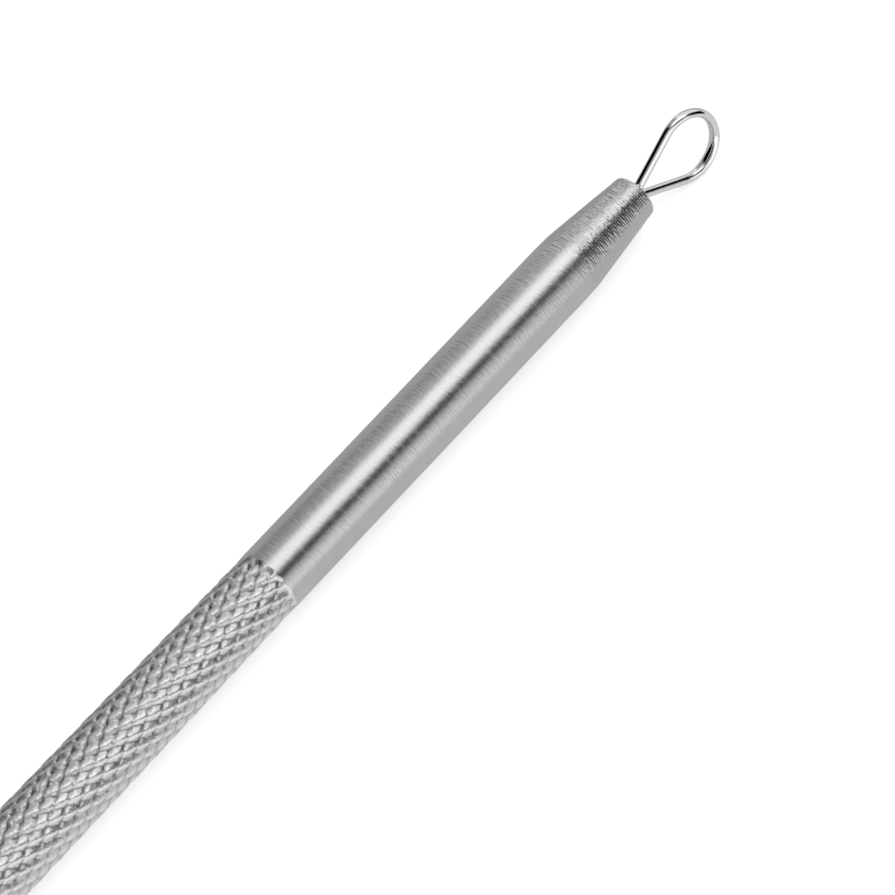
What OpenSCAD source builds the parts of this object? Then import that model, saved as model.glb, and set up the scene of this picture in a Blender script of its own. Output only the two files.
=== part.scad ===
// Blackhead extractor: a slim double-ended steel hand tool.
// A knurled bar carries a teardrop wire loop in its front tip and a ground needle in its rear tip.
// Units are millimetres. The origin is on the bar's axis in the middle of the knurled grip,
// +X runs along the bar towards the loop, and +Z is up as the tool lies on a table.

/* [Grip] */
// Length of the knurled grip
grip_len = 46.4; // [30:0.4:70]
// Diameter over the diamonds in the middle of the grip
grip_mid_d = 4.26; // [4.1:0.02:5.4]
// Diameter over the diamonds where the grip meets each shank, a little under the shank's own
grip_end_d = 3.98; // [3.8:0.02:3.98]
// How sharply the grip peaks in its middle, 1 is two straight tapers and 2 is a full barrel
grip_barrel = 1.2; // [1:0.1:2]
// Diamonds in one row round the grip
knurl_count = 16; // [12:1:18]
// Distance along the bar from one diamond to the next in line
knurl_pitch = 1.575; // [1.5:0.025:2.4]
// Depth of the grooves between the diamonds
knurl_depth = 0.2; // [0.1:0.02:0.3]
// Share of a diamond that is left flat on its top
knurl_flat = 0.5; // [0.3:0.05:0.7]

/* [Shanks] */
// Diameter of the two smooth shanks
shank_d = 4.0; // [4:0.05:4.4]
// Length of the smooth shank on the loop side
front_shank_len = 25.9; // [10:0.1:40]
// Length of the smooth shank on the needle side
rear_shank_len = 25.9; // [10:0.1:40]

/* [Tips] */
// Length of the coned tip that holds the loop
front_cone_len = 5.5; // [3:0.1:10]
// Diameter of the coned tip's end face on the loop side
front_tip_d = 2.8; // [2.2:0.05:3.6]
// Length of the coned tip that holds the needle
rear_cone_len = 5.5; // [3:0.1:10]
// Diameter of the coned tip's end face on the needle side
rear_tip_d = 2.8; // [2:0.05:3.6]
// Width of the bevel that breaks each tip's sharp edge
tip_bevel = 0.08; // [0.02:0.01:0.2]

/* [Loop] */
// Diameter of the loop's wire
wire_d = 0.55; // [0.4:0.05:0.7]
// Bend radius of the loop's round end, at the middle of the wire
loop_r = 2.06; // [1.4:0.02:3]
// Angle between each straight leg and the loop's centre line
leg_angle = 27.4; // [18:0.2:36]
// Turn of the loop's plane about the bar, 0 lies flat on the table
loop_turn = 65; // [0:1:90]
// Lean of the loop's plane away from the bar's axis
loop_lean = 4.8; // [0:0.2:12]
// Straight wire between the tip's end face and the first bend
mouth_gap = 0.2; // [0.18:0.02:0.6]
// Bend radius at the mouth, at the middle of the wire
corner_r = 0.8; // [0.5:0.1:1.2]
// Width that the wire is pressed to across the loop's plane, at the round end
band_w = 0.75; // [0.56:0.01:0.9]
// Thickness that the wire is pressed to within the loop's plane, at the round end
band_t = 0.52; // [0.3:0.01:0.55]
// Turn of the round end over which the wire goes from round to pressed
press_angle = 60; // [30:5:90]
// Length of each wire tail inside the tip
tail_len = 5; // [3:0.1:8]
// Gap between the two tails
tail_gap = 0.1; // [0.06:0.02:0.16]

/* [Needle] */
// Diameter of the needle
needle_d = 0.9; // [0.6:0.05:1.2]
// Length of the needle outside the tip, point included
needle_out = 8; // [5:0.5:14]
// Length of the ground point
point_len = 3.5; // [1.5:0.1:4.5]
// Diameter of the needle's blunted end
point_d = 0.1; // [0.06:0.02:0.2]
// Length of the needle inside the tip
needle_tail = 5; // [3:0.1:8]

/* [Brazing] */
// Filler metal between a bore's wall and the wire or needle in it
braze_gap = 0.05; // [0.04:0.01:0.1]
// Filler metal between a bore's floor and the ends in it
floor_gap = 0.3; // [0.1:0.05:0.6]
// Height of the filler's crown at a bore's mouth
crown_h = 0.12; // [0.05:0.01:0.16]

/* [Hidden] */
round_fn = 96;
wire_sides = 16;

// Places along the bar
front_tip_x = grip_len / 2 + front_shank_len + front_cone_len;
rear_tip_x = -grip_len / 2 - rear_shank_len - rear_cone_len;

// Bores in the two tips
tail_y = (wire_d + tail_gap) / 2;
loop_bore_r = tail_y + wire_d / 2 + braze_gap;
loop_bore_depth = tail_len + floor_gap;
needle_bore_r = needle_d / 2 + braze_gap;
needle_bore_depth = needle_tail + floor_gap;

// Past the mouth the wire first leans, then each leg turns outwards in the leaned plane
corner_x = corner_r * sin(leg_angle);
corner_y = tail_y + corner_r * (1 - cos(leg_angle));
leg_len = (loop_r * cos(leg_angle) - corner_y) / sin(leg_angle);
round_x = corner_x + leg_len * cos(leg_angle) + loop_r * sin(leg_angle);

// Stations along half the wire, from the end of its +Y tail to the far end of the loop. Each is
// [run past the lean, distance from the centre line, heading in the loop's plane, lean]
lean_steps = 2;
corner_steps = 4;
round_steps = 22;
half_wire = [
    [-tail_len - mouth_gap, tail_y, 0, 0],
    for (step = [0:lean_steps])
        [0, tail_y, 0, loop_lean * step / lean_steps],
    for (step = [1:corner_steps])
        let (heading = leg_angle * step / corner_steps)
        [corner_r * sin(heading), tail_y + corner_r * (1 - cos(heading)), heading, loop_lean],
    for (step = [0:round_steps])
        let (heading = leg_angle - (leg_angle + 90) * step / round_steps)
        [round_x - loop_r * sin(heading), loop_r * cos(heading), heading, loop_lean]
];
half_count = len(half_wire);
wire_stations = [
    each half_wire,
    for (i = [half_count - 2:-1:0])
        let (station = half_wire[i])
        [station[0], -station[1], -180 - station[2], station[3]]
];

// How far the wire is pressed at a station: 0 on the tails and legs, 1 round the far end
function pressed(heading) =
    let (turned = min(leg_angle - heading, heading + 180 + leg_angle))
    let (share = max(0, min(1, turned / press_angle)))
    share * share * (3 - 2 * share);

// The ring of points round the wire at a station
function wire_ring(station) =
    let (
        run = station[0],
        heading = station[2],
        lean = station[3],
        across = (wire_d + (band_t - wire_d) * pressed(heading)) / 2,
        upright = (wire_d + (band_w - wire_d) * pressed(heading)) / 2,
        centre = [
            mouth_gap + corner_r * sin(lean) + run * cos(lean),
            station[1],
            corner_r * (1 - cos(lean)) + run * sin(lean)
        ],
        across_way = [-sin(heading) * cos(lean), cos(heading), -sin(heading) * sin(lean)],
        upright_way = [-sin(lean), 0, cos(lean)]
    )
    [
        for (i = [0:wire_sides - 1])
            let (angle = 360 * i / wire_sides)
            centre + across * cos(angle) * across_way + upright * sin(angle) * upright_way
    ];

// The knurl is a lattice: each row of diamonds sits half a diamond round from the last
row_gap_wanted = knurl_pitch / 2;
knurl_rows = round(grip_len / row_gap_wanted);
row_gap = grip_len / knurl_rows;
turn_gap = 360 / knurl_count;

// Radius over the diamonds at a place along the grip
function grip_r(x) =
    grip_end_d / 2 + (grip_mid_d - grip_end_d) / 2 * (1 - pow(abs(x) / (grip_len / 2), grip_barrel));

// A point of the knurl from its place along the bar, its angle and its depth below the diamonds
function knurl_point(x, angle, depth) =
    let (r = grip_r(x) - depth)
    [x, r * cos(angle), r * sin(angle)];

// Where row k starts round the bar, and its place along it
function row_turn(k) = k % 2 == 0 ? 0 : turn_gap / 2;
function row_x(k) = -grip_len / 2 + k * row_gap;

// Points are kept row by row: for each diamond its groove crossing, then the back, right, front and
// left corners of its flat top
diamond_points = 5;
back = 1;
right = 2;
front = 3;
left = 4;

// Numbers of the points of diamond j in row k, counted on round the bar past the last diamond
function wrap(j) = (j + knurl_count) % knurl_count;
function crossing(k, j) = (k * knurl_count + wrap(j)) * diamond_points;
function top_corner(k, j, corner) = crossing(k, j) + corner;

// The crossing in a neighbouring row that lies in line with diamond j of row k
function end_crossing(k, j, neighbour) = crossing(neighbour, k % 2 == 0 ? j - 1 : j);

// A smooth shank with its coned tip, from the grip's end along +X
module bar_end(shank_len, cone_len, tip_d) {
    bevel_share = tip_bevel / cone_len;
    bevel_r = tip_d / 2 + (shank_d - tip_d) / 2 * bevel_share;
    rotate([0, 90, 0])
        rotate_extrude($fn = round_fn)
            polygon([
                [0, 0],
                [shank_d / 2, 0],
                [shank_d / 2, shank_len],
                [bevel_r, shank_len + cone_len - tip_bevel],
                [tip_d / 2 - tip_bevel, shank_len + cone_len],
                [0, shank_len + cone_len]
            ]);
}

// A bore that runs from a tip's end face back into the bar, with its mouth at the origin
module tip_bore(bore_r, bore_depth) {
    translate([-bore_depth, 0, 0])
        rotate([0, 90, 0])
            cylinder(h = bore_depth, r = bore_r, $fn = round_fn);
}

// Filler metal that fills such a bore and stands out of its mouth as a low round crown
module bore_filler(bore_r, bore_depth) {
    crown_r = (bore_r * bore_r + crown_h * crown_h) / (2 * crown_h);
    crown_half_angle = asin(bore_r / crown_r);
    crown_steps = 6;
    rotate([0, 90, 0])
        rotate_extrude($fn = round_fn)
            polygon([
                [0, -bore_depth],
                [bore_r, -bore_depth],
                for (step = [crown_steps:-1:0])
                    let (angle = crown_half_angle * step / crown_steps)
                    [crown_r * sin(angle), crown_h - crown_r * (1 - cos(angle))]
            ]);
}

// The knurled length of the bar, one closed lattice of flat-topped diamonds
module knurled_grip() {
    flat_x = row_gap * knurl_flat;
    flat_turn = turn_gap / 2 * knurl_flat;
    last = knurl_rows;
    points = [
        for (k = [0:last])
            for (j = [0:knurl_count - 1])
                let (
                    x = row_x(k),
                    angle = row_turn(k) + j * turn_gap,
                    back_x = k == 0 ? x : x - flat_x,
                    front_x = k == last ? x : x + flat_x
                )
                each [
                    knurl_point(x, angle + turn_gap / 2, knurl_depth),
                    knurl_point(back_x, angle, 0),
                    knurl_point(x, angle + flat_turn, 0),
                    knurl_point(front_x, angle, 0),
                    knurl_point(x, angle - flat_turn, 0)
                ],
        [-grip_len / 2, 0, 0],
        [grip_len / 2, 0, 0]
    ];
    rear_centre = len(points) - 2;
    front_centre = len(points) - 1;
    faces = [
        for (k = [0:last])
            for (j = [0:knurl_count - 1])
                let (
                    left_dip = crossing(k, j - 1),
                    right_dip = crossing(k, j),
                    back_dip = end_crossing(k, j, k - 1),
                    front_dip = end_crossing(k, j, k + 1),
                    back_top = top_corner(k, j, back),
                    right_top = top_corner(k, j, right),
                    front_top = top_corner(k, j, front),
                    left_top = top_corner(k, j, left)
                )
                each [
                    if (k > 0) each [
                        [back_top, left_top, right_top],
                        [back_dip, left_dip, left_top],
                        [back_dip, left_top, back_top],
                        [back_dip, back_top, right_top],
                        [back_dip, right_top, right_dip]
                    ],
                    if (k < last) each [
                        [front_top, right_top, left_top],
                        [front_dip, right_dip, right_top],
                        [front_dip, right_top, front_top],
                        [front_dip, front_top, left_top],
                        [front_dip, left_top, left_dip]
                    ],
                    if (k == 0) each [
                        [rear_centre, left_dip, left_top],
                        [rear_centre, left_top, right_top],
                        [rear_centre, right_top, right_dip]
                    ],
                    if (k == last) each [
                        [front_centre, left_top, left_dip],
                        [front_centre, right_top, left_top],
                        [front_centre, right_dip, right_top]
                    ]
                ]
    ];
    polyhedron(points = points, faces = faces, convexity = 6);
}

module handle() {
    color([0.72, 0.71, 0.71])
        union() {
            knurled_grip();
            difference() {
                translate([grip_len / 2, 0, 0])
                    bar_end(front_shank_len, front_cone_len, front_tip_d);
                translate([front_tip_x, 0, 0])
                    tip_bore(loop_bore_r, loop_bore_depth);
            }
            difference() {
                translate([-grip_len / 2, 0, 0])
                    rotate([0, 0, 180])
                        bar_end(rear_shank_len, rear_cone_len, rear_tip_d);
                translate([rear_tip_x, 0, 0])
                    rotate([0, 0, 180])
                        tip_bore(needle_bore_r, needle_bore_depth);
            }
        }
}

module extractor_loop() {
    ring_count = len(wire_stations);
    points = [for (station = wire_stations) each wire_ring(station)];
    faces = [
        [for (i = [0:wire_sides - 1]) i],
        for (ring = [0:ring_count - 2])
            for (i = [0:wire_sides - 1])
                let (
                    this = ring * wire_sides + i,
                    beside = ring * wire_sides + (i + 1) % wire_sides
                )
                each [
                    [this, this + wire_sides, beside],
                    [beside, this + wire_sides, beside + wire_sides]
                ],
        [for (i = [wire_sides - 1:-1:0]) (ring_count - 1) * wire_sides + i]
    ];
    color([0.8, 0.8, 0.82])
        translate([front_tip_x, 0, 0])
            rotate([loop_turn, 0, 0])
                polyhedron(points = points, faces = faces, convexity = 4);
}

module loop_braze() {
    color([0.62, 0.61, 0.58])
        translate([front_tip_x, 0, 0])
            rotate([loop_turn, 0, 0])
                difference() {
                    bore_filler(loop_bore_r, loop_bore_depth);
                    for (side = [-1, 1])
                        translate([-tail_len, side * tail_y, 0])
                            rotate([0, 90, 0])
                                cylinder(h = tail_len + mouth_gap, d = wire_d, $fn = round_fn);
                }
}

module lancet_needle() {
    shaft_len = needle_out - point_len;
    color([0.78, 0.78, 0.8])
        translate([rear_tip_x, 0, 0])
            rotate([0, -90, 0])
                rotate_extrude($fn = round_fn)
                    polygon([
                        [0, -needle_tail],
                        [needle_d / 2, -needle_tail],
                        [needle_d / 2, shaft_len],
                        [point_d / 2, needle_out],
                        [0, needle_out]
                    ]);
}

module needle_braze() {
    color([0.62, 0.61, 0.58])
        translate([rear_tip_x, 0, 0])
            rotate([0, 0, 180])
                difference() {
                    bore_filler(needle_bore_r, needle_bore_depth);
                    translate([-needle_tail, 0, 0])
                        rotate([0, 90, 0])
                            cylinder(h = needle_tail + needle_out, d = needle_d, $fn = round_fn);
                }
}

handle();
extractor_loop();
loop_braze();
lancet_needle();
needle_braze();
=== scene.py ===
import math
import random

import bmesh
import bpy
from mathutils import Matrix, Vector


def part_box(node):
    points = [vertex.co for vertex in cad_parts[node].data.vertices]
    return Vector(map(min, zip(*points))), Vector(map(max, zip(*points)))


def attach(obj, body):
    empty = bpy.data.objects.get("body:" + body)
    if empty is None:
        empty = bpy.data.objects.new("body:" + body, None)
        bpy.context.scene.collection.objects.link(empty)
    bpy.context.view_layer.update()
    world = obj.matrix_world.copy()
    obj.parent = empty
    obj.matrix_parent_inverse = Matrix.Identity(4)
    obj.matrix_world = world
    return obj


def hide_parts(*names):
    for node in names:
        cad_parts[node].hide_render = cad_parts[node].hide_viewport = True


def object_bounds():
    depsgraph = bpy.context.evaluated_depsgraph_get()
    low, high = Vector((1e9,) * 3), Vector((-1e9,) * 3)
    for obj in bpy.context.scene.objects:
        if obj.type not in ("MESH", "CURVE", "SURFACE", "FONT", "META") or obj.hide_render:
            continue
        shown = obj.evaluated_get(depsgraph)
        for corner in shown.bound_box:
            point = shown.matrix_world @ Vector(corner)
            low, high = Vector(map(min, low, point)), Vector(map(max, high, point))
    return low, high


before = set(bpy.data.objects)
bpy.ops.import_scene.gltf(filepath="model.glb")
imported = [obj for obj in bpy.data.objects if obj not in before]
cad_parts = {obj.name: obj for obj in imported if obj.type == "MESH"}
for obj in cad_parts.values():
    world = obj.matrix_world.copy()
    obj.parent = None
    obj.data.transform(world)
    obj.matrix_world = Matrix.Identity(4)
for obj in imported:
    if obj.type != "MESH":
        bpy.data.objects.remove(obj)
cad_low, cad_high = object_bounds()


# Camera: a long lens above and behind the grip's near side, looking along the tool towards its
# loop, so that the knurled end leaves the picture at its lower left corner.
MM = 0.001
scene = bpy.context.scene
scene.view_settings.view_transform = "Standard"
camera_place = Vector((-64.79, -86.88, 262.8)) * MM
camera_aim = Vector((35.7, -2.15, 0.0)) * MM
camera = bpy.data.objects.new("camera", bpy.data.cameras.new("camera"))
camera.data.sensor_width = 36.0
camera.data.lens = 215.2
camera.data.clip_start = 0.01
camera.data.clip_end = 10.0
camera.location = camera_place
camera.rotation_mode = "QUATERNION"
camera.rotation_quaternion = (camera_aim - camera_place).to_track_quat("-Z", "Y")
scene.collection.objects.link(camera)
scene.camera = camera


# Table: a plain white board under the tool, not part of it. It shows white to the camera and keeps
# the tool's shadow. In the metal it glows as a painted reflection: bright in front of the bar,
# fading to none near and behind it as a painted shadow of the tool, and less past the grip.
floor_half = 1.5
floor_grey = 0.6
glow_to_camera = 0.6
painted_reflection_glow = 0.55
painted_reflection_fade = 3 * MM
painted_reflection_by_grip = 0.6
painted_reflection_past_grip = 0.35
painted_reflection_grip_end = 22 * MM
painted_reflection_shank_start = 26 * MM


def node_tree_of(owner):
    """An emptied node tree of a material or a world."""
    owner.use_nodes = True
    owner.node_tree.nodes.clear()
    return owner.node_tree


def value_of(tree, operation, first, second=None, third=None):
    """One Math node, fed by sockets or by plain numbers."""
    node = tree.nodes.new("ShaderNodeMath")
    node.operation = operation
    for index, given in enumerate((first, second, third)):
        if given is None:
            continue
        if isinstance(given, (int, float)):
            node.inputs[index].default_value = given
        else:
            tree.links.new(given, node.inputs[index])
    return node.outputs[0]


def range_of(tree, source, start, end, low=0.0, high=1.0, smooth="LINEAR"):
    """One Map Range node: low at the start, high at the end, and held beyond both."""
    node = tree.nodes.new("ShaderNodeMapRange")
    node.interpolation_type = smooth
    for label, given in (("From Min", start), ("From Max", end), ("To Min", low), ("To Max", high)):
        node.inputs[label].default_value = given
    tree.links.new(source, node.inputs["Value"])
    return node.outputs[0]


floor_mesh = bpy.data.meshes.new("floor")
corners = ((-1, -1), (1, -1), (1, 1), (-1, 1))
floor_mesh.from_pydata(
    [(x * floor_half, y * floor_half, cad_low.z) for x, y in corners],
    [],
    [(0, 1, 2, 3)],
)
floor = bpy.data.objects.new("floor", floor_mesh)
scene.collection.objects.link(floor)

floor_paint = bpy.data.materials.new("white_table")
tree = node_tree_of(floor_paint)
paint = tree.nodes.new("ShaderNodeBsdfDiffuse")
paint.inputs["Color"].default_value = (floor_grey, floor_grey, floor_grey, 1.0)
rays = tree.nodes.new("ShaderNodeLightPath").outputs
seen = value_of(tree, "MULTIPLY", rays["Is Camera Ray"], glow_to_camera)
# Painted reflection: for mirrored rays the table glows, most in front of the bar, none near or behind
# it, and less past the grip.
mirrored = value_of(tree, "MAXIMUM", rays["Is Glossy Ray"], rays["Is Transmission Ray"])
where = tree.nodes.new("ShaderNodeTexCoord")
parts = tree.nodes.new("ShaderNodeSeparateXYZ")
tree.links.new(where.outputs["Object"], parts.inputs[0])
painted_reflection_front = range_of(tree, parts.outputs["Y"], painted_reflection_fade, -painted_reflection_fade, 0.0, painted_reflection_glow)
painted_reflection_along = range_of(
    tree, parts.outputs["X"], painted_reflection_grip_end, painted_reflection_shank_start, painted_reflection_by_grip, painted_reflection_past_grip
)
mirrored = value_of(tree, "MULTIPLY", mirrored, painted_reflection_front)
mirrored = value_of(tree, "MULTIPLY", mirrored, painted_reflection_along)
glow = tree.nodes.new("ShaderNodeEmission")
tree.links.new(value_of(tree, "ADD", seen, mirrored), glow.inputs["Strength"])
both = tree.nodes.new("ShaderNodeAddShader")
tree.links.new(paint.outputs[0], both.inputs[0])
tree.links.new(glow.outputs[0], both.inputs[1])
surface = tree.nodes.new("ShaderNodeOutputMaterial")
tree.links.new(both.outputs[0], surface.inputs["Surface"])
floor_mesh.materials.append(floor_paint)


# Studio: a wide soft box overhead, a dark gap, a tall light card in front of the table and a dull
# wall behind it. Past the loop the card sinks and the wall is lighter. Each stretch of the room is
# alike all along the bar: (degrees, level) by the angle about it from overhead towards the front.
towards_grip_levels = ((-150, 0.0), (-20, 0.0), (20, 0.3), (50, 0.9), (90, 0.9), (120, 0.4))
# The further ones each fade in between two values of a direction's lean towards the loop, its X.
further_stretches = (
    (-0.15, 0.1, (
        (-100, 0.3), (-70, 0.2), (-35, 0.35), (-20, 0.9), (-12, 1.0), (7, 1.0),
        (22, 0.0), (37, 0.0), (50, 0.5), (70, 0.8), (95, 0.75),
    )),
    (0.35, 0.5, (
        (-125, 1.0), (-80, 0.65), (-35, 0.6), (-15, 1.3), (8, 1.3),
        (24, 0.2), (36, 0.1), (50, 0.2), (95, 0.35),
    )),
    (0.55, 0.7, ((-125, 0.5), (-30, 0.6), (-10, 0.7), (14, 0.0), (92, 0.0), (110, 0.3))),
)
room_gain = 1.5


def ramp_of(tree, source, stops, smooth="EASE"):
    """A colour ramp of greys, from (place, level) pairs."""
    ramp = tree.nodes.new("ShaderNodeValToRGB")
    ramp.color_ramp.interpolation = smooth
    while len(ramp.color_ramp.elements) < len(stops):
        ramp.color_ramp.elements.new(1.0)
    for element, (place, level) in zip(ramp.color_ramp.elements, stops):
        element.position = place
        element.color = (level, level, level, 1.0)
    tree.links.new(source, ramp.inputs[0])
    return ramp.outputs[0]


def stretch_of_room(turn, levels):
    """The light round one stretch of the room, by the turn about the bar from 0 to 1."""
    stops = [(0.5 + angle / 360.0, level) for angle, level in levels]
    return ramp_of(tree, turn, stops, "LINEAR")


room = bpy.data.worlds.new("studio_room")
scene.world = room
tree = node_tree_of(room)
toward = tree.nodes.new("ShaderNodeTexCoord")
parts = tree.nodes.new("ShaderNodeSeparateXYZ")
tree.links.new(toward.outputs["Generated"], parts.inputs[0])
front = value_of(tree, "MULTIPLY", parts.outputs["Y"], -1.0)
around = value_of(tree, "ARCTAN2", front, parts.outputs["Z"])
turn = value_of(tree, "MULTIPLY_ADD", around, 0.5 / math.pi, 0.5)
light = stretch_of_room(turn, towards_grip_levels)
for start, full, levels in further_stretches:
    reached = range_of(tree, parts.outputs["X"], start, full)
    change = value_of(tree, "SUBTRACT", stretch_of_room(turn, levels), light)
    light = value_of(tree, "MULTIPLY_ADD", change, reached, light)
to_camera = tree.nodes.new("ShaderNodeLightPath").outputs["Is Camera Ray"]
mix = tree.nodes.new("ShaderNodeMix")
mix.data_type = "RGBA"
tree.links.new(to_camera, mix.inputs["Factor"])
tree.links.new(light, mix.inputs["A"])
mix.inputs["B"].default_value = (1.0, 1.0, 1.0, 1.0)
strength = value_of(tree, "MULTIPLY_ADD", to_camera, 1.0 - room_gain, room_gain)
sky = tree.nodes.new("ShaderNodeBackground")
tree.links.new(mix.outputs["Result"], sky.inputs["Color"])
tree.links.new(strength, sky.inputs["Strength"])
out = tree.nodes.new("ShaderNodeOutputWorld")
tree.links.new(sky.outputs[0], out.inputs["Surface"])

# The overhead soft box's own lamp casts the tool's shadow; the metal mirrors the room instead.
box_place = Vector((0.15, 0.05, 0.5))
box_length = 0.9
box_width = 0.5
box_data = bpy.data.lights.new("overhead_soft_box", "AREA")
box_data.shape = "RECTANGLE"
box_data.size = box_length
box_data.size_y = box_width
box_data.energy = math.pi * box_width * box_length
box = bpy.data.objects.new("overhead_soft_box", box_data)
box.location = box_place
box.rotation_mode = "QUATERNION"
box.rotation_quaternion = Vector((0.0, -box_place.y, -box_place.z)).to_track_quat("-Z", "Y")
box.visible_glossy = False
scene.collection.objects.link(box)


# Handle: one stainless bar, turned with a long cone at each end and a blind bore in each tip, then
# rolled with a diamond knurl along its middle. Cones keep the turning tool's fine rings.
handle_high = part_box("handle")[1]
tip_x = handle_high.x
grip_half = 23.2 * MM
shank_r = 2.0 * MM
tip_r = 1.4 * MM
cone_len = 5.5 * MM
cone_x = tip_x - cone_len
bevel = 0.08 * MM
front_bore_r = 0.65 * MM
rear_bore_r = 0.5 * MM
bore_depth = 5.3 * MM
grip_swell = handle_high.z - shank_r
grip_barrel = 1.2
# The knurl's lattice. It is turned about the bar, and the bar's mesh is turned with it.
diamonds_round = 16
pitches_along = 29.5
diamond_pitch = 2 * grip_half / pitches_along
lattice_degrees = -7.0
lattice_turn = lattice_degrees * diamonds_round / 360.0
steps_per_half_pitch = 5
segments = diamonds_round * 2 * steps_per_half_pitch
shank_gap = 0.12 * MM
shank_step = 3 * MM
turning_pitch = 0.155 * MM
turning_depth = 0.018 * MM
turning_run_in = 1.1 * MM
lightest_cut = 0.5
# One turning ring: flat, then down to its full depth at three quarters of the pitch.
ring_form = ((0.0, 0.0), (0.45, 0.0), (0.75, 1.0))
lathe = random.Random(41)


def cone_profile(bore_r):
    """Half profile of one tip from its shank outwards: turning rings, bevel, mouth and bore."""
    turned_len = cone_len - bevel
    rings = round(turned_len / turning_pitch)
    run_in_rings = round(turning_run_in / turning_pitch)
    points = []
    for ring in range(-run_in_rings, rings):
        run_in = min(1.0, 1.0 + ring / run_in_rings)
        cut = turning_depth * lathe.uniform(lightest_cut, 1.0) * run_in ** 2
        for part, share in ring_form:
            along = (ring + part) / rings * turned_len
            radius = shank_r + (tip_r - shank_r) * max(0.0, along) / cone_len
            points.append((along, radius - cut * share))
    rim_r = tip_r + (shank_r - tip_r) * bevel / cone_len
    points += [
        (turned_len, rim_r),
        (cone_len - bevel * 0.3, rim_r - bevel * 0.3),
        (cone_len, rim_r - bevel),
        (cone_len, bore_r + bevel * 0.5),
        (cone_len - bevel * 0.5, bore_r),
        (cone_len - bore_depth, bore_r),
        (cone_len - bore_depth, bore_r * 0.5),
    ]
    return [(cone_x + along, radius) for along, radius in points]


def shank_profile(start, end):
    """Half profile of a smooth shank: a ring close to the grip, then one every few millimetres."""
    start += shank_gap
    count = round((end - start) / shank_step)
    return [(start + (end - start) * i / count, shank_r) for i in range(count)]


grip_rows = round(2 * grip_half / (diamond_pitch / 2)) * steps_per_half_pitch
grip_profile = []
for row in range(grip_rows + 1):
    x = -grip_half + 2 * grip_half * row / grip_rows
    swell = 1.0 - (abs(x) / grip_half) ** grip_barrel
    grip_profile.append((x, shank_r + grip_swell * swell))

shank = shank_profile(grip_half, cone_x - turning_run_in)
front_end = shank + cone_profile(front_bore_r)
rear_end = shank + cone_profile(rear_bore_r)
bar_profile = [(-x, radius) for x, radius in reversed(rear_end)] + grip_profile + front_end


def spun_bar(name, profile, count, first_angle=0.0):
    """A closed mesh of rings about the X axis, one ring for each point of the profile."""
    shape = bmesh.new()
    rings = []
    for x, radius in profile:
        ring = []
        for index in range(count):
            angle = first_angle + math.tau * index / count
            ring.append(shape.verts.new((x, radius * math.cos(angle), radius * math.sin(angle))))
        rings.append(ring)
    for this, following in zip(rings, rings[1:]):
        for index in range(count):
            beside = (index + 1) % count
            shape.faces.new((this[index], following[index], following[beside], this[beside]))
    for ring in (rings[0], rings[-1]):
        centre = shape.verts.new((ring[0].co.x, 0.0, 0.0))
        for index in range(count):
            shape.faces.new((ring[index], ring[(index + 1) % count], centre))
    bmesh.ops.recalc_face_normals(shape, faces=shape.faces)
    mesh = bpy.data.meshes.new(name)
    shape.to_mesh(mesh)
    shape.free()
    piece = bpy.data.objects.new(name, mesh)
    scene.collection.objects.link(piece)
    return piece


def grain_group():
    """Fine marks that run round the bar: a height for bumps and a mask of bright flecks."""
    fleck_scale = 0.45
    fleck_stops = [(0.52, 0.0), (0.68, 1.0)]
    group = bpy.data.node_groups.new("round_grain", "ShaderNodeTree")
    sockets = group.interface
    for label, lines_a_metre in (("Lines Along", 9000.0), ("Lines Round", 900.0)):
        socket = sockets.new_socket(label, in_out="INPUT", socket_type="NodeSocketFloat")
        socket.default_value = lines_a_metre
    sockets.new_socket("Height", in_out="OUTPUT", socket_type="NodeSocketFloat")
    sockets.new_socket("Flecks", in_out="OUTPUT", socket_type="NodeSocketFloat")
    given = group.nodes.new("NodeGroupInput")
    result = group.nodes.new("NodeGroupOutput")
    where = group.nodes.new("ShaderNodeTexCoord")
    split = group.nodes.new("ShaderNodeSeparateXYZ")
    group.links.new(where.outputs["Object"], split.inputs[0])
    joined = group.nodes.new("ShaderNodeCombineXYZ")
    for axis, label in (("X", "Lines Along"), ("Y", "Lines Round"), ("Z", "Lines Round")):
        scaled = value_of(group, "MULTIPLY", split.outputs[axis], given.outputs[label])
        group.links.new(scaled, joined.inputs[axis])
    fine = group.nodes.new("ShaderNodeTexNoise")
    fine.inputs["Scale"].default_value = 1.0
    fine.inputs["Detail"].default_value = 3.0
    fine.inputs["Roughness"].default_value = 0.65
    group.links.new(joined.outputs[0], fine.inputs["Vector"])
    centred = value_of(group, "SUBTRACT", fine.outputs["Fac"], 0.5)
    group.links.new(centred, result.inputs["Height"])
    broad = group.nodes.new("ShaderNodeTexNoise")
    broad.inputs["Scale"].default_value = fleck_scale
    broad.inputs["Detail"].default_value = 2.0
    group.links.new(joined.outputs[0], broad.inputs["Vector"])
    flecks = ramp_of(group, broad.outputs["Fac"], fleck_stops)
    group.links.new(flecks, result.inputs["Flecks"])
    return group


round_grain = grain_group()


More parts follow.
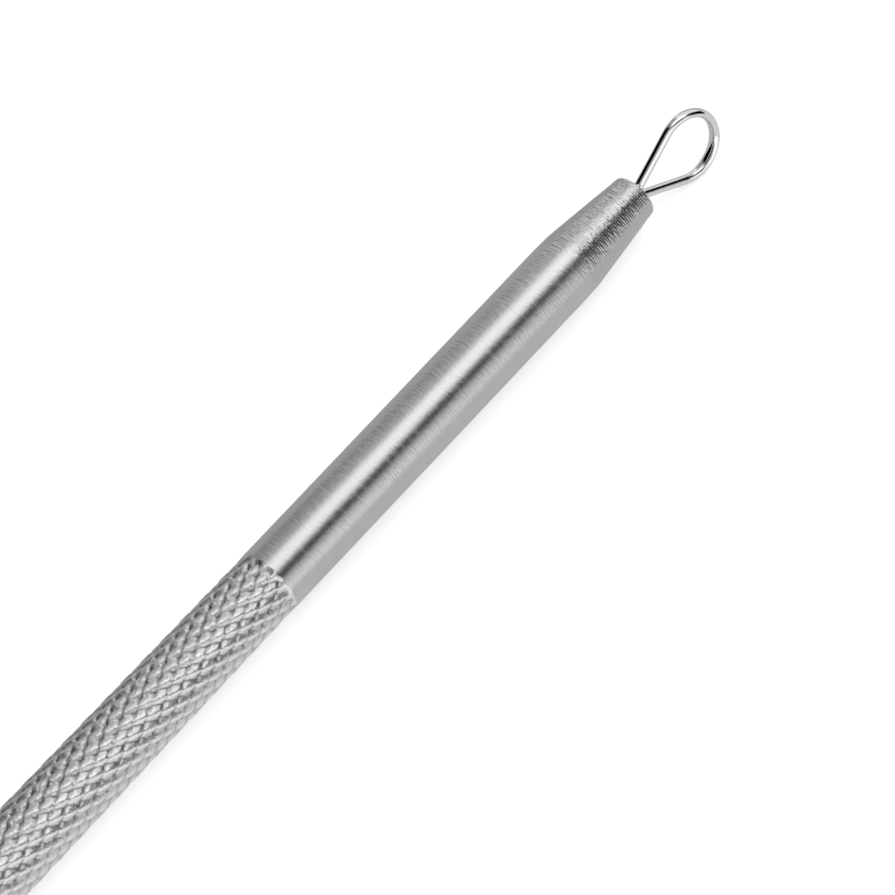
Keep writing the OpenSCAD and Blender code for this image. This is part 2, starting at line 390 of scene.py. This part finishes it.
def metal(name, tint, polish, lines, bump_depth, stretch=0.0):
    """A bare metal whose roughness, tint and bump follow the grain that runs round the bar.

    The polish is the roughness off and on a fleck, and the lines are those along and round the
    bar in a metre. Where a piece is pressed in, its tint is painted darker by the depth: painted
    shade in its grooves and chatter marks."""
    fleck_contrast = 0.02
    groove_shade_tint = 0.5
    finish = bpy.data.materials.new(name)
    tree = node_tree_of(finish)
    shader = tree.nodes.new("ShaderNodeBsdfPrincipled")
    shader.inputs["Metallic"].default_value = 1.0
    shader.inputs["Anisotropic"].default_value = stretch
    grain = tree.nodes.new("ShaderNodeGroup")
    grain.node_tree = round_grain
    grain.inputs["Lines Along"].default_value, grain.inputs["Lines Round"].default_value = lines
    roughness = range_of(tree, grain.outputs["Flecks"], 0.0, 1.0, *polish)
    tree.links.new(roughness, shader.inputs["Roughness"])
    shade = tree.nodes.new("ShaderNodeMix")
    shade.data_type = "RGBA"
    shade.inputs["A"].default_value = (*[c * (1.0 - fleck_contrast) for c in tint], 1.0)
    shade.inputs["B"].default_value = (*[c * (1.0 + fleck_contrast) for c in tint], 1.0)
    tree.links.new(grain.outputs["Flecks"], shade.inputs["Factor"])
    # Painted shade: the tint darkens with the stored press depth, to half at full depth.
    depth_for_painted_shade = tree.nodes.new("ShaderNodeAttribute")
    depth_for_painted_shade.attribute_name = "depth_for_painted_shade"
    painted_shade_share = range_of(tree, depth_for_painted_shade.outputs["Fac"], 0.0, 1.0, 1.0, groove_shade_tint)
    shaded_colour = tree.nodes.new("ShaderNodeVectorMath")
    shaded_colour.operation = "SCALE"
    tree.links.new(shade.outputs["Result"], shaded_colour.inputs[0])
    tree.links.new(painted_shade_share, shaded_colour.inputs["Scale"])
    tree.links.new(shaded_colour.outputs[0], shader.inputs["Base Color"])
    bump = tree.nodes.new("ShaderNodeBump")
    bump.inputs["Strength"].default_value = 1.0
    bump.inputs["Distance"].default_value = bump_depth
    tree.links.new(grain.outputs["Height"], bump.inputs["Height"])
    tree.links.new(bump.outputs[0], shader.inputs["Normal"])
    if stretch:
        lay = tree.nodes.new("ShaderNodeTangent")
        lay.direction_type = "RADIAL"
        lay.axis = "X"
        tree.links.new(lay.outputs[0], shader.inputs["Tangent"])
    surface = tree.nodes.new("ShaderNodeOutputMaterial")
    tree.links.new(shader.outputs[0], surface.inputs["Surface"])
    return finish


satin_steel = metal(
    "satin_turned_steel",
    tint=(0.56, 0.545, 0.55),
    polish=(0.21, 0.25),
    lines=(7000.0, 1500.0),
    bump_depth=0.016 * MM,
    stretch=0.5,
)
# The bar's own steel, with its tint painted lighter to stand in for the brighter light on the knurl;
# painted shade then darkens its grooves.
lighter_knurl_steel = metal(
    "knurl_steel_painted_lighter",
    tint=(0.79, 0.775, 0.78),
    polish=(0.28, 0.40),
    lines=(5000.0, 5000.0),
    bump_depth=0.04 * MM,
)
# A groove's width is the share of the way from its bottom to the next crest that its wall takes,
# and its lean is where that crest lies between two bottoms. Chatter is the uneven cut on a cone.
knurl_sizes = {
    "Diamonds Round": float(diamonds_round),
    "Pitch": diamond_pitch,
    "Grip Half Length": grip_half,
    "Turn": lattice_turn,
    "Long Groove Depth": 0.125 * MM,
    "Long Groove Width": 0.84,
    "Long Groove Lean": 0.62,
    "Cross Groove Depth": 0.08 * MM,
    "Cross Groove Width": 0.27,
    "Cross Groove Lean": 0.5,
    "Pit Depth": 0.038 * MM,
    "Run Out": 0.14 * MM,
    "Unevenness": 0.02 * MM,
    "Tip": tip_x,
    "Chatter": 0.06 * MM,
    "Material": satin_steel,
    "Knurl Material": lighter_knurl_steel,
}
dents_a_metre = 2600.0
chatter_lines_along = 8000.0
chatter_lines_across = 4000.0
# Press depth at which the painted groove shade is darkest.
full_painted_shade_depth = 0.2 * MM


def sized_tree(name, sizes):
    """A Geometry Nodes tree whose named inputs are the given sizes and materials."""
    kinds = {float: "NodeSocketFloat", int: "NodeSocketInt", tuple: "NodeSocketVector"}
    group = bpy.data.node_groups.new(name, "GeometryNodeTree")
    sockets = group.interface
    sockets.new_socket("Geometry", in_out="INPUT", socket_type="NodeSocketGeometry")
    for label, preset in sizes.items():
        kind = kinds.get(type(preset), "NodeSocketMaterial")
        socket = sockets.new_socket(label, in_out="INPUT", socket_type=kind)
        socket.default_value = preset
    sockets.new_socket("Geometry", in_out="OUTPUT", socket_type="NodeSocketGeometry")
    return group


def knurl_tree():
    """Presses the diamond knurl into the bar: two families of grooves that cross along its grip."""
    group = sized_tree("rolled_diamond_knurl", knurl_sizes)
    given = group.nodes.new("NodeGroupInput").outputs
    link = group.links.new

    def value(operation, first, second=None, third=None):
        return value_of(group, operation, first, second, third)

    place = group.nodes.new("GeometryNodeInputPosition").outputs[0]
    split = group.nodes.new("ShaderNodeSeparateXYZ")
    link(place, split.inputs[0])
    x, y, z = (split.outputs[axis] for axis in "XYZ")
    radius = value("SQRT", value("ADD", value("MULTIPLY", y, y), value("MULTIPLY", z, z)))

    turned = value("MULTIPLY", value("ARCTAN2", z, y), 1.0 / math.tau)
    turned = value("MULTIPLY_ADD", turned, given["Diamonds Round"], given["Turn"])
    along = value("DIVIDE", value("ADD", x, given["Grip Half Length"]), given["Pitch"])

    def groove(operation, kind):
        """One family of grooves, 0 on the crest between two and 1 along the bottom of one."""
        phase = value("FRACT", value("ADD", value(operation, turned, along), 0.5))
        lean = given[kind + " Lean"]
        rise = value("DIVIDE", phase, lean)
        fall = value("DIVIDE", value("SUBTRACT", 1.0, phase), value("SUBTRACT", 1.0, lean))
        off_bottom = value("DIVIDE", value("MINIMUM", rise, fall), given[kind + " Width"])
        wall = group.nodes.new("ShaderNodeClamp")
        link(value("SUBTRACT", 1.0, off_bottom), wall.inputs["Value"])
        return wall.outputs[0]

    long_groove = groove("SUBTRACT", "Long Groove")
    cross_groove = groove("ADD", "Cross Groove")
    form = value("MULTIPLY", value("MULTIPLY", long_groove, cross_groove), given["Pit Depth"])
    form = value("MULTIPLY_ADD", long_groove, given["Long Groove Depth"], form)
    form = value("MULTIPLY_ADD", cross_groove, given["Cross Groove Depth"], form)

    from_end = value("SUBTRACT", given["Grip Half Length"], value("ABSOLUTE", x))
    run_outs = value("DIVIDE", from_end, given["Run Out"])
    fade = range_of(group, run_outs, 0.0, 1.0, smooth="SMOOTHSTEP")
    depth = value("MULTIPLY", form, fade)
    rough = group.nodes.new("ShaderNodeTexNoise")
    rough.inputs["Scale"].default_value = dents_a_metre
    rough.inputs["Detail"].default_value = 2.0
    link(place, rough.inputs["Vector"])
    dents = value("MULTIPLY", value("MULTIPLY", rough.outputs["Fac"], fade), given["Unevenness"])
    depth = value("ADD", depth, dents)

    streaks = group.nodes.new("ShaderNodeCombineXYZ")
    link(value("MULTIPLY", x, chatter_lines_along), streaks.inputs["X"])
    link(value("MULTIPLY", y, chatter_lines_across), streaks.inputs["Y"])
    link(value("MULTIPLY", z, chatter_lines_across), streaks.inputs["Z"])
    tremble = group.nodes.new("ShaderNodeTexNoise")
    tremble.inputs["Scale"].default_value = 1.0
    link(streaks.outputs[0], tremble.inputs["Vector"])
    past_tip = value("SUBTRACT", value("ABSOLUTE", x), given["Tip"])
    on_cone = range_of(group, past_tip, -cone_len - turning_run_in, -cone_len)
    chatter = value("MULTIPLY", tremble.outputs["Fac"], given["Chatter"])
    depth = value("ADD", depth, value("MULTIPLY", chatter, on_cone))

    shrink = value("DIVIDE", value("SUBTRACT", radius, depth), radius)
    moved = group.nodes.new("ShaderNodeCombineXYZ")
    link(x, moved.inputs["X"])
    link(value("MULTIPLY", y, shrink), moved.inputs["Y"])
    link(value("MULTIPLY", z, shrink), moved.inputs["Z"])
    press = group.nodes.new("GeometryNodeSetPosition")
    link(given["Geometry"], press.inputs["Geometry"])
    link(value("GREATER_THAN", radius, tip_r - bevel * 0.5), press.inputs["Selection"])
    link(moved.outputs[0], press.inputs["Position"])
    # Stores the press depth for the material's painted shade in the grooves.
    noted = group.nodes.new("GeometryNodeStoreNamedAttribute")
    noted.inputs["Name"].default_value = "depth_for_painted_shade"
    link(press.outputs[0], noted.inputs["Geometry"])
    link(value("DIVIDE", depth, full_painted_shade_depth), noted.inputs["Value"])
    real = group.nodes.new("GeometryNodeRealizeInstances")
    link(noted.outputs[0], real.inputs[0])
    finish = group.nodes.new("GeometryNodeSetMaterial")
    link(real.outputs[0], finish.inputs["Geometry"])
    link(given["Material"], finish.inputs["Material"])
    rolled = group.nodes.new("GeometryNodeSetMaterial")
    link(finish.outputs[0], rolled.inputs["Geometry"])
    link(value("GREATER_THAN", from_end, 0.0), rolled.inputs["Selection"])
    link(given["Knurl Material"], rolled.inputs["Material"])
    result = group.nodes.new("NodeGroupOutput")
    link(rolled.outputs[0], result.inputs["Geometry"])
    return group


def made_plain(piece, group, sizes):
    """Runs a node tree on a piece with the given inputs and keeps the result as its plain mesh."""
    modifier = piece.modifiers.new(group.name, "NODES")
    modifier.node_group = group
    for item in group.interface.items_tree:
        if item.item_type == "SOCKET" and item.in_out == "INPUT" and item.name in sizes:
            modifier[item.identifier] = sizes[item.name]
    shaped = piece.evaluated_get(bpy.context.evaluated_depsgraph_get())
    mesh = bpy.data.meshes.new_from_object(shaped)
    piece.modifiers.remove(modifier)
    piece.data = mesh


def smoothed(piece, crease_degrees):
    """Smooth shading that keeps edges sharper than the given angle."""
    piece.data.shade_smooth()
    piece.data.set_sharp_from_angle(angle=math.radians(crease_degrees))


handle = spun_bar("handle_bar", bar_profile, segments, -math.tau * lattice_turn / diamonds_round)
made_plain(handle, knurl_tree(), knurl_sizes)
smoothed(handle, 50.0)
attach(handle, "root")
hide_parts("handle")


# Extractor loop: one length of polished spring wire. Its two tails lie side by side in the front
# bore, its legs spread from the mouth, and its round end is pressed to a slim upright band.
wire_d = 0.55 * MM
loop_r = 2.057 * MM
leg_angle = math.radians(27.4)
loop_turn = math.radians(65.0)
loop_lean = math.radians(4.8)
mouth_gap = 0.2 * MM
corner_r = 0.8 * MM
band_w = 0.744 * MM
band_t = 0.52 * MM
press_angle = math.radians(60.0)
tail_len = 5.0 * MM
tail_offset = 0.325 * MM
lean_steps, corner_steps, leg_steps, round_steps = 6, 12, 20, 80
wire_sides = 40
corner_x = corner_r * math.sin(leg_angle)
corner_y = tail_offset + corner_r * (1 - math.cos(leg_angle))
leg_len = (loop_r * math.cos(leg_angle) - corner_y) / math.sin(leg_angle)
round_x = corner_x + leg_len * math.cos(leg_angle) + loop_r * math.sin(leg_angle)
polished_wire = metal(
    "polished_wire",
    tint=(0.80, 0.79, 0.79),
    polish=(0.04, 0.10),
    lines=(3000.0, 3000.0),
    bump_depth=0.01 * MM,
)


def half_wire():
    """Points along half the wire as run past the lean, offset, heading in the plane and lean."""
    points = [(-tail_len - mouth_gap, tail_offset, 0.0, 0.0), (-mouth_gap, tail_offset, 0.0, 0.0)]
    for i in range(lean_steps + 1):
        points.append((0.0, tail_offset, 0.0, loop_lean * i / lean_steps))
    for i in range(1, corner_steps + 1):
        heading = leg_angle * i / corner_steps
        offset = tail_offset + corner_r * (1 - math.cos(heading))
        points.append((corner_r * math.sin(heading), offset, heading, loop_lean))
    for i in range(1, leg_steps):
        run = corner_x + leg_len * i / leg_steps * math.cos(leg_angle)
        offset = corner_y + leg_len * i / leg_steps * math.sin(leg_angle)
        points.append((run, offset, leg_angle, loop_lean))
    for i in range(round_steps + 1):
        heading = leg_angle - (leg_angle + math.pi / 2) * i / round_steps
        run = round_x - loop_r * math.sin(heading)
        points.append((run, loop_r * math.cos(heading), heading, loop_lean))
    return points


def about_bar(across, up):
    """Turns a pair of Y and Z sizes about the bar by the loop's turn."""
    return (
        across * math.cos(loop_turn) - up * math.sin(loop_turn),
        across * math.sin(loop_turn) + up * math.cos(loop_turn),
    )


def wire_path(name):
    """The wire's centre line as a chain of edges; each point holds how far the wire is pressed."""
    half = half_wire()
    mirrored = [(run, -offset, -math.pi - heading, lean) for run, offset, heading, lean in half]
    places, pressings = [], []
    for run, offset, heading, lean in half + mirrored[-2::-1]:
        turned = min(leg_angle - heading, heading + math.pi + leg_angle)
        part = max(0.0, min(1.0, turned / press_angle))
        pressings.append(part * part * (3 - 2 * part))
        x = tip_x + mouth_gap + corner_r * math.sin(lean) + run * math.cos(lean)
        rise = corner_r * (1 - math.cos(lean)) + run * math.sin(lean)
        places.append((x, *about_bar(offset, rise)))
    mesh = bpy.data.meshes.new(name)
    mesh.from_pydata(places, [(i, i + 1) for i in range(len(places) - 1)], [])
    mesh.attributes.new("pressed", "FLOAT", "POINT").data.foreach_set("value", pressings)
    piece = bpy.data.objects.new(name, mesh)
    scene.collection.objects.link(piece)
    return piece


# Upright is square to the loop's own leaning plane: the band is wide that way and thin across it.
wire_sizes = {
    "Wire Diameter": wire_d,
    "Band Width": band_w,
    "Band Thickness": band_t,
    "Upright": (-math.sin(loop_lean), *about_bar(0.0, math.cos(loop_lean))),
    "Sides": wire_sides,
    "Material": polished_wire,
}


def wire_tree():
    """Draws a round wire along a path and presses it, where the path says so, to a flat band."""
    group = sized_tree("drawn_and_pressed_wire", wire_sizes)
    given = group.nodes.new("NodeGroupInput").outputs
    link = group.links.new

    path = group.nodes.new("GeometryNodeMeshToCurve")
    link(given["Geometry"], path.inputs["Mesh"])
    here = group.nodes.new("GeometryNodeInputPosition").outputs[0]
    kept = group.nodes.new("GeometryNodeStoreNamedAttribute")
    kept.data_type = "FLOAT_VECTOR"
    kept.domain = "POINT"
    kept.inputs["Name"].default_value = "centre"
    link(path.outputs[0], kept.inputs["Geometry"])
    link(here, kept.inputs["Value"])
    profile = group.nodes.new("GeometryNodeCurvePrimitiveCircle")
    link(given["Sides"], profile.inputs["Resolution"])
    link(value_of(group, "MULTIPLY", given["Wire Diameter"], 0.5), profile.inputs["Radius"])
    drawn = group.nodes.new("GeometryNodeCurveToMesh")
    drawn.inputs["Fill Caps"].default_value = True
    link(kept.outputs[0], drawn.inputs["Curve"])
    link(profile.outputs[0], drawn.inputs["Profile Curve"])

    centre = group.nodes.new("GeometryNodeInputNamedAttribute")
    centre.data_type = "FLOAT_VECTOR"
    centre.inputs["Name"].default_value = "centre"
    pressed = group.nodes.new("GeometryNodeInputNamedAttribute")
    pressed.inputs["Name"].default_value = "pressed"

    def vector_of(operation, first, second, scale=None):
        node = group.nodes.new("ShaderNodeVectorMath")
        node.operation = operation
        link(first, node.inputs[0])
        if second is not None:
            link(second, node.inputs[1])
        if scale is not None:
            link(scale, node.inputs["Scale"])
        return node

    def pressed_scale(size):
        ratio = value_of(group, "DIVIDE", given[size], given["Wire Diameter"])
        change = value_of(group, "SUBTRACT", ratio, 1.0)
        return value_of(group, "MULTIPLY_ADD", change, pressed.outputs[0], 1.0)

    out_from_centre = vector_of("SUBTRACT", here, centre.outputs[0]).outputs[0]
    height = vector_of("DOT_PRODUCT", out_from_centre, given["Upright"]).outputs["Value"]
    upright_part = vector_of("SCALE", given["Upright"], None, height).outputs[0]
    across_part = vector_of("SUBTRACT", out_from_centre, upright_part).outputs[0]
    upright_part = vector_of("SCALE", upright_part, None, pressed_scale("Band Width")).outputs[0]
    across_part = vector_of("SCALE", across_part, None, pressed_scale("Band Thickness")).outputs[0]
    place = vector_of("ADD", upright_part, across_part).outputs[0]
    place = vector_of("ADD", place, centre.outputs[0]).outputs[0]
    press = group.nodes.new("GeometryNodeSetPosition")
    link(drawn.outputs[0], press.inputs["Geometry"])
    link(place, press.inputs["Position"])
    real = group.nodes.new("GeometryNodeRealizeInstances")
    link(press.outputs[0], real.inputs[0])
    finish = group.nodes.new("GeometryNodeSetMaterial")
    link(real.outputs[0], finish.inputs["Geometry"])
    link(given["Material"], finish.inputs["Material"])
    result = group.nodes.new("NodeGroupOutput")
    link(finish.outputs[0], result.inputs["Geometry"])
    return group


loop = wire_path("wire_loop")
made_plain(loop, wire_tree(), wire_sizes)
smoothed(loop, 50.0)
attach(loop, "root")
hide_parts("extractor_loop")


# Lancet needle: a polished steel pin brazed into the rear bore, ground to a long plain point.
# Grinding leaves fine rings on the point and a slightly duller finish than the wire's.
needle_low, needle_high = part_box("lancet_needle")
needle_r = needle_high.z
point_len = 3.5 * MM
point_r = 0.05 * MM
needle_sides = 64
shaft_steps = 12
grind_steps = 60
grind_depth = 0.003 * MM
shaft_end = needle_low.x + point_len
needle_profile = [(needle_high.x, needle_r * 0.5), (needle_high.x, needle_r)]
for i in range(1, shaft_steps):
    x = needle_high.x + (shaft_end - needle_high.x) * i / shaft_steps
    needle_profile.append((x, needle_r))
for i in range(grind_steps):
    part = i / grind_steps
    ground = needle_r + (point_r - needle_r) * part - grind_depth * (i % 2)
    needle_profile.append((shaft_end - point_len * part, ground))
needle_profile += [(needle_low.x + point_r * 0.3, point_r), (needle_low.x, point_r * 0.6)]
needle = spun_bar("needle_pin", needle_profile, needle_sides)
ground_steel = metal(
    "ground_needle_steel",
    tint=(0.62, 0.61, 0.61),
    polish=(0.12, 0.2),
    lines=(16000.0, 1200.0),
    bump_depth=0.0005 * MM,
    stretch=0.4,
)
needle.data.materials.append(ground_steel)
smoothed(needle, 40.0)
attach(needle, "root")
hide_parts("lancet_needle")


# Brazing: dull silver filler metal that holds the wire's tails and the needle in their bores. Only
# its low crown at each mouth can be seen. Both CAD solids stay and only get this metal.
braze = metal(
    "dull_braze_metal",
    tint=(0.5, 0.48, 0.44),
    polish=(0.38, 0.55),
    lines=(5000.0, 5000.0),
    bump_depth=0.004 * MM,
)
for node_name in ("loop_braze", "needle_braze"):
    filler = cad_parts[node_name]
    filler.data.materials.clear()
    filler.data.materials.append(braze)
